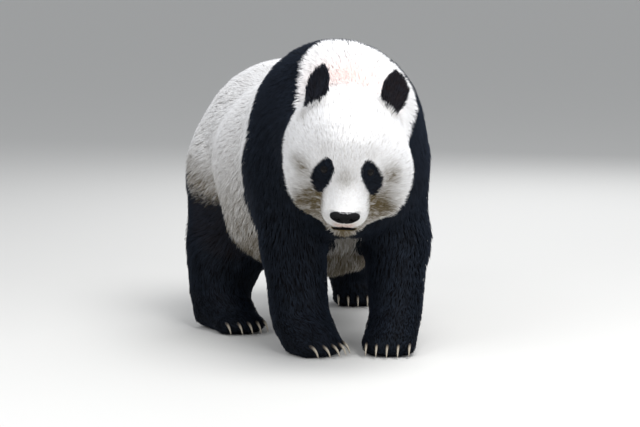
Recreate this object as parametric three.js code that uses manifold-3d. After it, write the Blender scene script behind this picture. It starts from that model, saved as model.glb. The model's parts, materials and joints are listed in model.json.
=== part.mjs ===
// A life-size giant panda standing on all fours, with its head lowered and turned a little to its right.
// Millimetres, +Z up. The panda faces -Y and its left side is +X. The floor is Z = 0.
//
// Flesh is a field: a function of a point that is negative inside the coat and zero at the tips of the fur.
// Each part starts as a three.js capsule laid along a bone line, and its vertices are slid out along their
// own rays until the field is zero. Neighbours share one field, so their surfaces meet, and thin cuts part
// them.

import * as THREE from 'three';
import { mergeVertices } from 'three/addons/utils/BufferGeometryUtils.js';
import Module from 'manifold-3d';

const wasm = await Module();
wasm.setup();

// ---------------------------------------------------------------- driving dimensions

const GAP = 0.4; // air left in each cut
const OVERSIZE = 3000; // side of the block that stands for all space behind a plane

const WITHERS = 812; // height of the coat over the shoulders
const HIP_HEIGHT = 742; // height of the coat over the rump
const SHOULDER_HALF_WIDTH = 231;
const BELLY_HALF_WIDTH = 284;
const BELLY_CLEARANCE = 172; // floor to the lowest fur of the belly
const BACK_HEIGHT = 722; // height of the coat over the middle of the back
const RUMP_END = 895; // how far the rump reaches behind the shoulders' origin

const HEAD_CENTRE = [-62, -300, 558];
const HEAD_YAW = -16; // degrees; negative turns the nose to the panda's right
const HEAD_PITCH = 32; // degrees nose-down
const HEAD_ROLL = 4; // degrees; the crown leans to the panda's left
const HEAD_HALF_WIDTH = 163;
const FULLER_CHEEK = 5; // how far the cheeks' fur is pushed to the panda's left

const EYE_RADIUS = 11.5;
const EYE_PLACE = [54, 14]; // left of the face's middle, and up, in the head's frame
const EYE_DEPTH = 10; // from the fur's surface to the middle of the eye
const NOSE_HEIGHT = -66;
const CLAW_LENGTH = 48;
const CLAW_RADIUS = 5.6;

const COLOURS = {
  white: { color: '#e9e4dc', roughness: 0.9, metalness: 0 },
  black: { color: '#17181c', roughness: 0.8, metalness: 0 },
  nose: { color: '#151416', roughness: 0.35, metalness: 0 },
  eye: { color: '#1a120d', roughness: 0.08, metalness: 0 },
  claw: { color: '#c9b595', roughness: 0.45, metalness: 0 },
};

// ---------------------------------------------------------------- fields of flesh

const vec = (xyz) => new THREE.Vector3(...xyz);

// Distance, roughly, to an ellipsoid.
function ball(centre, radii) {
  const c = vec(centre);
  const q = new THREE.Vector3();
  return (p) => {
    q.copy(p).sub(c);
    const near = Math.hypot(q.x / radii[0], q.y / radii[1], q.z / radii[2]);
    const slope = Math.hypot(q.x / radii[0] ** 2, q.y / radii[1] ** 2, q.z / radii[2] ** 2);
    return slope > 0 ? (near * (near - 1)) / slope : -Math.min(...radii);
  };
}

// Distance to a bone from a to b, thick with muscle: radius ra at a and rb at b.
function bone(a, ra, b, rb) {
  const start = vec(a);
  const along = vec(b).sub(start);
  const q = new THREE.Vector3();
  return (p) => {
    q.copy(p).sub(start);
    const t = THREE.MathUtils.clamp(q.dot(along) / along.lengthSq(), 0, 1);
    return q.addScaledVector(along, -t).length() - THREE.MathUtils.lerp(ra, rb, t);
  };
}

// Several fields as one, with a soft fold of about this width where they meet.
function melt(width, ...fields) {
  const blend = (a, b) => {
    const share = Math.max(width - Math.abs(a - b), 0) / width;
    return Math.min(a, b) - (share * share * width) / 4;
  };
  return (p) => fields.map((field) => field(p)).reduce(blend);
}

// A field given in a local frame, as seen from the panda's frame.
function placed(frame, field) {
  const inverse = frame.clone().invert();
  const q = new THREE.Vector3();
  return (p) => field(q.copy(p).applyMatrix4(inverse).clone());
}

// ---------------------------------------------------------------- the body's masses

const ribs = ball([6, 95, WITHERS - 255], [SHOULDER_HALF_WIDTH, 255, 255]);
const girth = (BACK_HEIGHT - BELLY_CLEARANCE) / 2;
const belly = ball([0, 350, BELLY_CLEARANCE + girth], [BELLY_HALF_WIDTH, 330, girth]);
// The belly's lowest part is broad, so that it still shows between a foreleg and a thigh.
const paunch = ball([0, 330, BELLY_CLEARANCE + 128], [228, 250, 128]);
const rump = ball([0, RUMP_END - 262, HIP_HEIGHT - 240], [BELLY_HALF_WIDTH - 22, 262, 240]);
const chest = ball([0, -50, 450], [150, 120, 150]);
const neck = bone([-10, 55, 590], 205, [-44, -180, 568], 160);
const trunkField = melt(70, ribs, belly, paunch, rump, chest, neck);

const headFrame = new THREE.Matrix4().compose(
  vec(HEAD_CENTRE),
  new THREE.Quaternion().setFromEuler(
    new THREE.Euler(
      THREE.MathUtils.degToRad(HEAD_PITCH),
      THREE.MathUtils.degToRad(HEAD_ROLL),
      THREE.MathUtils.degToRad(HEAD_YAW),
      'ZXY',
    ),
  ),
  new THREE.Vector3(1, 1, 1),
);

// The head in its own frame: nose towards -Y, crown towards +Z.
const skull = melt(
  40,
  ball([0, 15, 20], [124, 124, 112]),
  ball([0, -50, 42], [82, 66, 66]),
  ball([FULLER_CHEEK + HEAD_HALF_WIDTH - 88, -16, -56], [88, 98, 114]),
  ball([FULLER_CHEEK + 88 - HEAD_HALF_WIDTH, -16, -56], [88, 98, 114]),
  ball([FULLER_CHEEK + 64, -58, -102], [62, 58, 62]),
  ball([FULLER_CHEEK - 64, -58, -102], [62, 58, 62]),
);
const muzzle = melt(
  16,
  bone([0, -80, -28], 60, [0, -152, -74], 47),
  ball([0, -154, -80], [63, 42, 40]),
  bone([0, -60, -116], 54, [0, -130, -126], 34),
  ball([0, -140, -125], [50, 38, 35]),
);
const faceField = melt(46, skull, muzzle);
const headField = placed(headFrame, faceField);

// Each leg: the points of its bones, from the trunk down, and the muscle's radius at each. The hem is the
// plane that parts the leg from the trunk: a point of it, and its upward normal. The haunch is the share of
// the upper bone that lies under the trunk's own flesh. The heel is how far it lies behind the paw's middle,
// and the instep is half the height of the paw's back.
const LEGS = {
  front_left: {
    side: 1,
    joints: [[150, 75, 480], [160, 62, 285], [132, -42, 100]],
    radii: [104, 90, 72],
    hem: { at: [0, 75, 385], up: [0, -0.12, 1] },
    paw: [100, -104, 0],
    toeIn: 20,
    heel: 20,
    heelWidth: 52,
    instep: 43,
    haunch: 0.7,
  },
  front_right: {
    side: -1,
    joints: [[-150, 75, 480], [-124, 55, 285], [-122, -8, 100]],
    radii: [104, 86, 80],
    hem: { at: [0, 75, 385], up: [0, -0.12, 1] },
    paw: [-106, -72, 0],
    toeIn: 30,
    heel: 40,
    heelWidth: 58,
    instep: 43,
    haunch: 0.7,
  },
  hind_left: {
    side: 1,
    joints: [[160, 665, 425], [205, 665, 250], [230, 800, 100]],
    radii: [150, 116, 82],
    hem: { at: [0, 740, 352], up: [0, -0.6, 0.8] },
    paw: [224, 748, 0],
    toeIn: 12,
    heel: 54,
    heelWidth: 56,
    instep: 34,
    haunch: 0.95,
  },
  hind_right: {
    side: -1,
    joints: [[-160, 655, 425], [-218, 470, 226], [-252, 434, 100]],
    radii: [150, 113, 86],
    hem: { at: [0, 570, 352], up: [0, -0.6, 0.8] },
    paw: [-224, 338, 0],
    toeIn: 14,
    heel: 88,
    heelWidth: 80,
    instep: 34,
    haunch: 0.95,
  },
};

// A paw in its own frame: toes towards -Y, sole on Z = 0. Five round toes stand side by side in a shallow
// arc.
const TOE_COUNT = 5;
const TOE_SPREAD = 27; // from one toe's middle to the next
const TOE_ARC = 5; // how far each toe falls back as the square of its place from the middle
const TOE_RADII = [17, 27, 22];
const TOE_REACH = 62;

const toePlaces = Array.from({ length: TOE_COUNT }, (_, i) => {
  const place = i - (TOE_COUNT - 1) / 2;
  return [place * TOE_SPREAD, -TOE_REACH + TOE_ARC * place * place, TOE_RADII[2]];
});

function pawFrame({ paw, side, toeIn }) {
  return new THREE.Matrix4()
    .makeTranslation(...paw)
    .multiply(new THREE.Matrix4().makeRotationZ(THREE.MathUtils.degToRad(-side * toeIn)));
}

function pawField(leg) {
  const palm = ball([0, -12, leg.instep - 7], [73, 60, leg.instep]);
  const sole = bone([0, leg.heel, 38], leg.heelWidth, [0, -20, leg.instep - 7], leg.instep + 5);
  const toes = melt(7, ...toePlaces.map((place) => ball(place, TOE_RADII)));
  return placed(pawFrame(leg), melt(22, palm, sole, toes));
}

const legField = ({ joints: [top, middle, foot], radii: [r1, r2, r3] }) =>
  melt(40, bone(top, r1, middle, r2), bone(middle, r2, foot, r3));

// The thick top of a leg, which the trunk swells over.
function haunchField({ joints: [top, middle], radii: [r1, r2], haunch }) {
  const end = vec(top).lerp(vec(middle), haunch).toArray();
  return bone(top, r1, end, THREE.MathUtils.lerp(r1, r2, haunch));
}

const legs = Object.entries(LEGS).map(([name, leg]) => ({ name, ...leg }));
const torsoField = melt(60, trunkField, ...legs.map(haunchField));
const neckField = melt(50, torsoField, headField);
const aboveFloor = (field) => (p) => Math.max(field(p), -p.z);

// A leg's root is slimmer than its haunch, so that it starts inside the trunk.
const ROOT_SHARE = 0.8;
function wholeLeg(leg) {
  const [root, ...rest] = leg.radii;
  return aboveFloor(melt(30, legField({ ...leg, radii: [root * ROOT_SHARE, ...rest] }), pawField(leg)));
}

// ---------------------------------------------------------------- from fields to solids

const MARCH = 8; // step along a ray, then halved to find the surface
const HALVINGS = 14;

// How far along a ray from the bone line the field's surface lies, and no further than reach.
function surfaceDistance(field, from, direction, reach) {
  const p = new THREE.Vector3();
  const at = (t) => field(p.copy(from).addScaledVector(direction, t));
  let inside = 0;
  let outside = MARCH;
  while (outside < reach && at(outside) < 0) {
    inside = outside;
    outside += MARCH;
  }
  if (outside >= reach) return reach;
  for (let i = 0; i < HALVINGS; i++) {
    const middle = (inside + outside) / 2;
    if (at(middle) < 0) inside = middle;
    else outside = middle;
  }
  return (inside + outside) / 2;
}

// A closed mesh with shared vertices, without the triangles that a capsule's poles fold flat.
function closed(geometry) {
  geometry.deleteAttribute('normal');
  geometry.deleteAttribute('uv');
  const merged = mergeVertices(geometry, 1e-4);
  const index = merged.index.array;
  const kept = [];
  for (let i = 0; i < index.length; i += 3) {
    const [a, b, c] = [index[i], index[i + 1], index[i + 2]];
    if (a !== b && b !== c && c !== a) kept.push(a, b, c);
  }
  merged.setIndex(kept);
  return merged;
}

function solidOf(geometry) {
  const mesh = closed(geometry);
  return new wasm.Manifold(
    new wasm.Mesh({
      numProp: 3,
      vertProperties: new Float32Array(mesh.attributes.position.array),
      triVerts: new Uint32Array(mesh.index.array),
    }),
  );
}

// A capsule bent along the path, each vertex slid out to the field's surface.
function wrap(field, points, { sides, rings, caps, reach = 420 }) {
  const path = new THREE.CatmullRomCurve3(points.map(vec), false, 'centripetal');
  const frames = path.computeFrenetFrames(rings);
  const capsule = closed(new THREE.CapsuleGeometry(1, 1, caps, sides, rings));
  const place = capsule.attributes.position;
  const v = new THREE.Vector3();
  const ray = new THREE.Vector3();
  for (let i = 0; i < place.count; i++) {
    v.fromBufferAttribute(place, i);
    const along = THREE.MathUtils.clamp(v.y, -0.5, 0.5);
    const ring = Math.round((along + 0.5) * rings);
    const from = path.getPointAt(ring / rings);
    ray
      .set(0, 0, 0)
      .addScaledVector(frames.normals[ring], v.x)
      .addScaledVector(frames.tangents[ring], v.y - along)
      .addScaledVector(frames.binormals[ring], -v.z)
      .normalize();
    from.addScaledVector(ray, surfaceDistance(field, from, ray, reach));
    place.setXYZ(i, from.x, from.y, from.z);
  }
  return solidOf(capsule);
}

// All space behind a plane: a block whose front face passes through the point, square to the normal.
function behind(point, normal, shift = 0) {
  const facing = vec(normal).normalize();
  const turn = new THREE.Quaternion().setFromUnitVectors(new THREE.Vector3(0, 0, 1), facing);
  const middle = vec(point).addScaledVector(facing, shift - OVERSIZE / 2);
  const block = new THREE.BoxGeometry(OVERSIZE, OVERSIZE, OVERSIZE);
  return solidOf(block.applyQuaternion(turn).translate(...middle.toArray()));
}

// The part of a solid in front of a plane, and the part behind it, with air between them.
const ahead = (solid, plane) => solid.subtract(behind(...plane, GAP));
const aft = (solid, plane) => solid.intersect(behind(...plane));

// A cut can leave a crumb; the piece itself is the largest body.
const largest = (solid) => solid.decompose().sort((a, b) => b.volume() - a.volume())[0];

// ---------------------------------------------------------------- planes of the cuts

const inHead = (xyz) => vec(xyz).applyMatrix4(headFrame).toArray();
const headDirection = (xyz) => vec(xyz).transformDirection(headFrame).toArray();

const NAPE = [inHead([0, 112, 0]), headDirection([0, -1, 0.05])];
const COLLAR = [[0, 70, WITHERS], [0, -0.9, 0.43]];
const COLLAR_LAP = 2; // how far the black of the neck runs into the shoulders
const BAND_FRONT = [[0, 85, WITHERS], [0.26, -0.59, 0.77]];
const BAND_BACK = [[0, 158, WITHERS - 20], [0, -0.965, 0.262]];

const HEAD_MARGIN = 36;
const LIMB_BULGE = [60, 12, 0]; // how far the space of a leg is moved outwards at each of its joints
const LIMB_MARGIN = 26;

const jointPlane = (from, to) => [to, vec(from).sub(vec(to)).normalize().toArray()];
const wristPlane = (from, to) => [to, vec(jointPlane(from, to)[1]).add(vec([0, 0, 1])).normalize().toArray()];

// ---------------------------------------------------------------- small parts

const PATCH_SLANT = 14; // degrees that an eye patch leans, down and out

// The middle of something sunk this deep into the face, at this place left of its middle line and up.
function onFace([across, up], depth) {
  const forward = new THREE.Vector3(0, -1, 0);
  const from = new THREE.Vector3(across, 0, up);
  return [across, -surfaceDistance(faceField, from, forward, 400) + depth, up];
}

const facePlaces = {
  left: onFace(EYE_PLACE, EYE_DEPTH),
  right: onFace([-EYE_PLACE[0], EYE_PLACE[1]], EYE_DEPTH),
  nose: onFace([0, NOSE_HEIGHT], 4),
};

function eyeSphere(side, grown = 0) {
  const sphere = new THREE.SphereGeometry(EYE_RADIUS + grown, 10, 7);
  sphere.translate(...facePlaces[side > 0 ? 'left' : 'right']);
  return solidOf(sphere.applyMatrix4(headFrame));
}

// The plug of short black fur round an eye.
function patchPlug(side, grown = 0) {
  const plug = new THREE.SphereGeometry(1, 10, 7).scale(30 + grown, 36 + grown, 47 + grown);
  plug.rotateY(THREE.MathUtils.degToRad(-side * PATCH_SLANT));
  plug.translate(side * (EYE_PLACE[0] + 6), facePlaces.left[1] + 8, EYE_PLACE[1] - 11);
  return solidOf(plug.applyMatrix4(headFrame));
}

// The bare leather pad on the end of the muzzle. It narrows to the lip.
function nosePad(grown = 0) {
  const pad = new THREE.SphereGeometry(1, 12, 7);
  const at = pad.attributes.position;
  for (let i = 0; i < at.count; i++) {
    at.setX(i, at.getX(i) * (1 + 0.3 * Math.min(at.getZ(i), 0)));
  }
  pad.scale(36 + grown, 14 + grown, 18 + grown).translate(...facePlaces.nose);
  return solidOf(pad.applyMatrix4(headFrame));
}

const EAR = { width: 50, height: 61, thickness: 13, bow: 16, tilt: 26 };
// Where an ear's middle is, how many degrees it is turned outwards and leant across the head, and how round
// its rim is: 2 for an oval, less for one that is pointed at its top, foot and sides.
const EAR_POSES = {
  left: { at: [110, 80, 121], turn: 42, lean: -5, roundness: 1.5 },
  right: { at: [-91, 80, 124], turn: -72, lean: 22, roundness: 1.95 },
};

// A round ear: a thick disc, bowed so that its front is a shallow cup. The right ear is turned further out.
function earDisc(side, grown = 0) {
  const { at: root, turn, lean, roundness } = EAR_POSES[side > 0 ? 'left' : 'right'];
  const disc = new THREE.SphereGeometry(1, 12, 9);
  const at = disc.attributes.position;
  for (let i = 0; i < at.count; i++) {
    const full = [at.getX(i), at.getZ(i)];
    const corner = full.reduce((sum, part) => sum + Math.abs(part) ** roundness, 0) ** (1 / roundness);
    const [x, z] = full.map((part) => part * (corner > 0 ? Math.hypot(...full) / corner : 1));
    const y = at.getY(i);
    const bow = EAR.bow * (1 - x * x - z * z);
    at.setXYZ(i, x * (EAR.width + grown), y * (EAR.thickness + grown) + bow, z * (EAR.height + grown));
  }
  disc.rotateZ(THREE.MathUtils.degToRad(turn));
  disc.rotateX(THREE.MathUtils.degToRad(-EAR.tilt));
  disc.rotateY(THREE.MathUtils.degToRad(lean));
  disc.translate(...root);
  return solidOf(disc.applyMatrix4(headFrame));
}

// The short tail, laid against the rump.
function tailBrush(grown = 0) {
  const brush = new THREE.SphereGeometry(1, 10, 8).scale(48 + grown, 36 + grown, 82 + grown);
  brush.rotateX(THREE.MathUtils.degToRad(14));
  brush.translate(0, RUMP_END - 14, 500);
  return solidOf(brush);
}

// A claw: a cone bent down along an arc, its root in the toe and its tip just clear of the floor.
function claw(leg, place, grown = 0) {
  const cone = new THREE.CylinderGeometry(1, 1, 1, 5, 3);
  const at = cone.attributes.position;
  const sweep = THREE.MathUtils.degToRad(78);
  const arcRadius = CLAW_LENGTH / sweep;
  for (let i = 0; i < at.count; i++) {
    const along = at.getY(i) + 0.5;
    const angle = along * sweep;
    const thick = CLAW_RADIUS * (1 - 0.88 * along * along) + grown;
    const [across, up] = [-at.getX(i) * thick * 0.8, at.getZ(i) * thick];
    const lift = (arcRadius + up) * Math.cos(angle);
    const forward = (arcRadius + up) * Math.sin(angle) - (along > 0 ? 0 : grown);
    at.setXYZ(i, across, -forward, lift - arcRadius);
  }
  cone.translate(place[0] * 1.04, place[1] - 13, place[2] + 12);
  return solidOf(cone.applyMatrix4(pawFrame(leg)));
}

// ---------------------------------------------------------------- assembly

const panda = new THREE.Group();
panda.name = 'giant_panda';

function addNode(name, solid, finish) {
  const { vertProperties, triVerts, numProp } = largest(solid).getMesh();
  const geometry = new THREE.BufferGeometry();
  const buffer = new THREE.InterleavedBuffer(vertProperties, numProp);
  geometry.setAttribute('position', new THREE.InterleavedBufferAttribute(buffer, 3, 0));
  geometry.setIndex(new THREE.BufferAttribute(triVerts, 1));
  const mesh = new THREE.Mesh(geometry, new THREE.MeshStandardMaterial(COLOURS[finish]));
  mesh.name = name;
  panda.add(mesh);
}

// The space that belongs to a leg: round its muscle, bulging outwards at the top, on its own side of the
// body and under its hem.
function limbSpace(leg, grown) {
  const joints = leg.joints.map(([x, y, z], i) => [x + leg.side * LIMB_BULGE[i], y, z]);
  const muscle = legField({ joints, radii: leg.radii.map((radius) => radius + LIMB_MARGIN + grown) });
  const space = wrap(muscle, joints, { sides: 16, rings: 5, caps: 3 });
  return space
    .intersect(behind([leg.side * (3 - grown), 0, 0], [-leg.side, 0, 0]))
    .intersect(behind(leg.hem.at, leg.hem.up, grown));
}

const pawHeart = (leg) => vec([0, -6, 40]).applyMatrix4(pawFrame(leg)).toArray();

function legTube(leg) {
  const [x, y, z] = leg.joints[2];
  return wrap(wholeLeg(leg), [...leg.joints, [x, y, z / 2]], { sides: 16, rings: 8, caps: 2, reach: 300 });
}

function addLeg(body, leg) {
  const [top, middle, foot] = leg.joints;
  const limb = body.intersect(limbSpace(leg, 0));
  const elbow = jointPlane(top, middle);
  const wrist = wristPlane(middle, foot);
  addNode(`${leg.name}_upper_leg`, ahead(limb, elbow), 'black');
  addNode(`${leg.name}_lower_leg`, ahead(aft(limb, elbow), wrist), 'black');

  const ankle = vec(foot).lerp(vec(middle), 0.3).toArray();
  let paw = wrap(wholeLeg(leg), [ankle, pawHeart(leg)], { sides: 16, rings: 2, caps: 5, reach: 190 });
  toePlaces.forEach((place, i) => {
    addNode(`${leg.name}_claw_${i + 1}`, claw(leg, place), 'claw');
    paw = paw.subtract(claw(leg, place, GAP));
  });
  addNode(`${leg.name}_paw`, aft(paw, wrist), 'black');
}

const headLine = [[0, 60, 10], [0, -20, -15], [0, -84, -44]].map(inHead);

// The space that belongs to the head: round it, and in front of the nape.
function headSpace(grown) {
  const around = wrap((p) => headField(p) - HEAD_MARGIN - grown, headLine, { sides: 16, rings: 4, caps: 4 });
  return around.subtract(behind(...NAPE, -grown));
}

function addHead() {
  let head = wrap(neckField, headLine, { sides: 24, rings: 4, caps: 6, reach: 260 }).intersect(headSpace(0));
  for (const side of [1, -1]) {
    const name = side > 0 ? 'left' : 'right';
    addNode(`${name}_eye`, eyeSphere(side), 'eye');
    addNode(`${name}_ear`, earDisc(side), 'black');
    addNode(`${name}_eye_patch`, head.intersect(patchPlug(side)).subtract(eyeSphere(side, GAP)), 'black');
    head = head.subtract(patchPlug(side, GAP)).subtract(eyeSphere(side, GAP)).subtract(earDisc(side, GAP));
  }
  addNode('nose', nosePad(), 'nose');
  addNode('head', head.subtract(nosePad(GAP)), 'white');
}

function addBody() {
  const spine = [[0, -10, 520], [0, 200, 490], [0, 480, 465], [0, RUMP_END - 240, 465]];
  const throat = [[0, 130, 560], [0, 0, 580], inHead([0, 40, 0])];
  const torso = wrap(torsoField, spine, { sides: 26, rings: 11, caps: 4 });
  const neckTube = wrap(neckField, throat, { sides: 24, rings: 5, caps: 4, reach: 300 });
  const fore = neckTube.subtract(behind(...COLLAR, -COLLAR_LAP)).subtract(headSpace(GAP));
  const body = legs.reduce((sum, leg) => sum.add(legTube(leg)), aft(torso, COLLAR).subtract(headSpace(GAP)));
  for (const leg of legs) addLeg(body, leg);
  const withoutLegs = (solid) => legs.reduce((rest, leg) => rest.subtract(limbSpace(leg, GAP)), solid);
  const rest = withoutLegs(body).subtract(tailBrush(GAP));
  const ears = earDisc(1, GAP).add(earDisc(-1, GAP));
  addNode('neck', ahead(ahead(fore, COLLAR), BAND_FRONT).subtract(ears), 'white');
  addNode('shoulders', ahead(rest, BAND_BACK).add(aft(fore, BAND_FRONT)), 'black');
  addNode('trunk', aft(rest, BAND_BACK), 'white');
  addNode('tail', tailBrush(), 'white');
}

addHead();
addBody();

// The origin is on the floor, under the middle of the whole animal.
const middle = new THREE.Box3().setFromObject(panda).getCenter(new THREE.Vector3());
panda.position.set(-middle.x, -middle.y, 0);

export default panda;
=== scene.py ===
# %% [markdown]
# # A life-size giant panda
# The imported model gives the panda's outline out to the tips of its fur, parted into head, trunk, legs and so
# on. This lesson dresses it: one skin under the coat, eyes with lids, a leather nose, claws, and a coat of
# about 150,000 small tufts. A coat could also be particle hair, but that is lost when the model is handed on,
# so each tuft here is a tiny closed mesh.

# %% Load the frame
import json
import math

import bmesh
import bpy
import numpy as np
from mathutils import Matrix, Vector, kdtree
from mathutils.bvhtree import BVHTree

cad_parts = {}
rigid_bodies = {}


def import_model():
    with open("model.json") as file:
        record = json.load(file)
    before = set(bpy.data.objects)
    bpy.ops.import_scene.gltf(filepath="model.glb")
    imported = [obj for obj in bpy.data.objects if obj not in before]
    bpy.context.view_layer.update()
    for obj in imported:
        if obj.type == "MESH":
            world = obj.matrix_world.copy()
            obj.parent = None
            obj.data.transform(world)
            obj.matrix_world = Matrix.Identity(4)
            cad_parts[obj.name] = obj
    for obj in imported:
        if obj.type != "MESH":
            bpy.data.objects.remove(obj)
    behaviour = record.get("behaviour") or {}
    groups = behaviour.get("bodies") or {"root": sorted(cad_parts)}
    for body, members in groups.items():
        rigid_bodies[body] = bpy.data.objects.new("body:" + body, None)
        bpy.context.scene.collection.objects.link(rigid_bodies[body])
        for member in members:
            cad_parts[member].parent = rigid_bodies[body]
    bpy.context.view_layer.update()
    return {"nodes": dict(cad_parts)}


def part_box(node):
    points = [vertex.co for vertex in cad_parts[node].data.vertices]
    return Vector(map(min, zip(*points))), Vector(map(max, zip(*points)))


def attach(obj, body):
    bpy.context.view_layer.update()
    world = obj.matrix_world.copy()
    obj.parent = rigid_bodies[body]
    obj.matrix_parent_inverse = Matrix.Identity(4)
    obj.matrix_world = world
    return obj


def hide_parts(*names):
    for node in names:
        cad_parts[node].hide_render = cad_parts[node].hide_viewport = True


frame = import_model()
nodes = frame["nodes"]

# %% [markdown]
# ## Small helpers
# Colours are written as the hex values that a painter would pick on a screen, and Blender works in linear
# light, so one function turns one into the other. Another adds a shader node with its settings and inputs.

# %% Colour and node helpers
def linear(hex_colour):
    parts = [int(hex_colour[i : i + 2], 16) / 255 for i in (1, 3, 5)]
    return [c / 12.92 if c <= 0.04045 else ((c + 0.055) / 1.055) ** 2.4 for c in parts] + [1.0]


def set_inputs(node, **inputs):
    """Each input, by name or by number as in _6, is a value, a hex colour or another node's output."""
    for name, value in inputs.items():
        name = name.replace("_", " ")
        socket = node.inputs[int(name) if name.strip().isdigit() else name]
        if isinstance(value, bpy.types.NodeSocket):
            node.id_data.links.new(value, socket)
        else:
            socket.default_value = linear(value) if isinstance(value, str) else value


def add_node(tree, kind, settings=None, **inputs):
    node = tree.nodes.new(kind)
    for name, value in (settings or {}).items():
        setattr(node, name, value)
    set_inputs(node, **inputs)
    return node


def new_material(name, **shader):
    """A material of one Principled shader, its tree, the shader, and the place on a piece in metres."""
    material = bpy.data.materials.new(name)
    material.use_nodes = True
    tree = material.node_tree
    surface = tree.nodes["Principled BSDF"]
    set_inputs(surface, **shader)
    return material, tree, surface, add_node(tree, "ShaderNodeTexCoord").outputs["Object"]


# %% Selection and modifier helpers
def select_only(objects):
    bpy.ops.object.select_all(action="DESELECT")
    for piece in objects:
        piece.select_set(True)
    bpy.context.view_layer.objects.active = objects[0]


def finish_with(piece, kind, **settings):
    """Adds a modifier and applies it."""
    select_only([piece])
    modifier = piece.modifiers.new(kind.title(), kind)
    for name, value in settings.items():
        setattr(modifier, name, value)
    bpy.ops.object.modifier_apply(modifier=modifier.name)


def write_field(mesh, name, values, kind="FLOAT"):
    """A value, a vector or a colour at each point of a mesh, which materials can read."""
    field = mesh.attributes.new(name, kind, "POINT")
    key = {"FLOAT_VECTOR": "vector", "FLOAT_COLOR": "color"}.get(kind, "value")
    field.data.foreach_set(key, np.asarray(values, np.int32 if kind == "INT" else np.float32).ravel())


def read_all(items, key, width=1, kind=np.float32):
    values = np.empty(len(items) * width, kind)
    items.foreach_get(key, values)
    return values.reshape(-1, width) if width > 1 else values


def points_of(mesh, field="co"):
    return read_all(mesh.vertices, field, 3).astype(float)


def move_points(mesh, points):
    mesh.vertices.foreach_set("co", np.ascontiguousarray(points, np.float32).ravel())
    mesh.update()


def unit(vectors):
    return vectors / np.maximum(np.linalg.norm(vectors, axis=-1, keepdims=True), 1e-9)


def distance(points, place):
    return np.linalg.norm(points - np.asarray(place), axis=1)


def along_surface(vectors, normals):
    return unit(vectors - normals * np.sum(vectors * normals, axis=1, keepdims=True))


def fade(value, start, end):
    """A soft step from 0 at start to 1 at end."""
    t = np.clip((value - start) / (end - start), 0, 1)
    return t * t * (3 - 2 * t)


# %% [markdown]
# ## Landmarks
# Every place comes from the frame. The two eyes give the head's sideways axis. The line from the nose to the
# point between the eyes leans back from the head's upright by a known angle, and that gives the other two.

# %% The head's own frame
EYE_SIDE = 0.054  # from the middle of the face
EYE_FRONT, EYE_UP = -0.1102, 0.014
FACE_LEAN = math.radians(47.2)


def middle(node):
    low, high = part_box(node)
    return np.array((low + high) / 2)


eyes = {side: middle(f"{side}_eye") for side in ("left", "right")}
between_eyes = (eyes["left"] + eyes["right"]) / 2
head_side = unit(eyes["left"] - eyes["right"])
up_face = between_eyes - middle("nose")
up_face = unit(up_face - head_side * (up_face @ head_side))
back_face = np.cross(up_face, head_side)
head_up = math.cos(FACE_LEAN) * up_face - math.sin(FACE_LEAN) * back_face
head_back = math.sin(FACE_LEAN) * up_face + math.cos(FACE_LEAN) * back_face
head_axes = np.stack([head_side, head_back, head_up], axis=1)
head_origin = between_eyes - head_axes @ np.array([0, EYE_FRONT, EYE_UP])


def to_head(points):
    return (points - head_origin) @ head_axes


def from_head(points):
    return np.asarray(points, float) @ head_axes.T + head_origin


print("head faces", (-head_back).round(2), "and its crown points", head_up.round(2))

# %% The legs' lines
LEG_NAMES = ("front_left", "front_right", "hind_left", "hind_right")
CLAWS_EACH = 5
paw_forward = {}
for leg in LEG_NAMES:
    claws = np.mean([middle(f"{leg}_claw_{i + 1}") for i in range(CLAWS_EACH)], axis=0)
    ahead = claws - middle(f"{leg}_paw")
    paw_forward[leg] = unit(np.array([ahead[0], ahead[1], 0.0]))
print("paws point to", {leg: tuple(way.round(2)) for leg, way in paw_forward.items()})

# %% [markdown]
# ## Camera, light and floor
# A long lens from far off, low and a little to one side, looks slightly down on the panda. The light is a
# studio's: a large soft box overhead, weaker ones on every side and a pale room all round.

# %% Camera
CAMERA_PLACE = (-1.499, -6.339, 1.073)
CAMERA_AIM = (-0.129, -0.534, 0.395)
LENS, SENSOR = 135.0, 36.0  # mm


def new_object(name, data):
    thing = bpy.data.objects.new(name, data)
    bpy.context.scene.collection.objects.link(thing)
    return thing


def point_at(thing, place, aim):
    thing.location = place
    thing.rotation_euler = (Vector(aim) - Vector(place)).to_track_quat("-Z", "Y").to_euler()


camera = new_object("camera", bpy.data.cameras.new("camera"))
point_at(camera, CAMERA_PLACE, CAMERA_AIM)
camera.data.lens = LENS
camera.data.sensor_width = SENSOR
camera.data.clip_end = 200.0
bpy.context.scene.camera = camera
print("camera at", CAMERA_PLACE, "with a lens of", LENS, "mm")


# %% Lights and room
def soft_box(name, place, aim, size, power, colour):
    light = bpy.data.lights.new(name, "AREA")
    light.shape = "DISK"
    light.size = size
    light.energy = power
    light.color = linear(colour)[:3]
    point_at(new_object(name, light), place, aim)


soft_box("overhead", (0.6, -1.2, 3.6), (0, -0.2, 0.5), 2.6, 112, "#fbfcff")
soft_box("left_fill", (-3.2, -2.6, 3.0), (0, -0.2, 0.5), 2.6, 74, "#f6f9ff")
soft_box("front_fill", (1.2, -5.2, 2.6), (0, -0.3, 0.5), 2.5, 74, "#f6f9ff")
soft_box("side_fill", (3.4, -3.4, 1.7), (0, -0.3, 0.5), 2.2, 46, "#f6f9ff")
soft_box("back_fill", (2.0, 3.6, 2.8), (0, 0.2, 0.5), 2.5, 72, "#f8faff")

room = bpy.data.worlds.new("pale_room")
bpy.context.scene.world = room
room.use_nodes = True
set_inputs(room.node_tree.nodes["Background"], Color="#e2e6ec", Strength=0.65)
bpy.context.scene.view_settings.view_transform = "Standard"
print("lights:", [light.name for light in bpy.data.lights])

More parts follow.
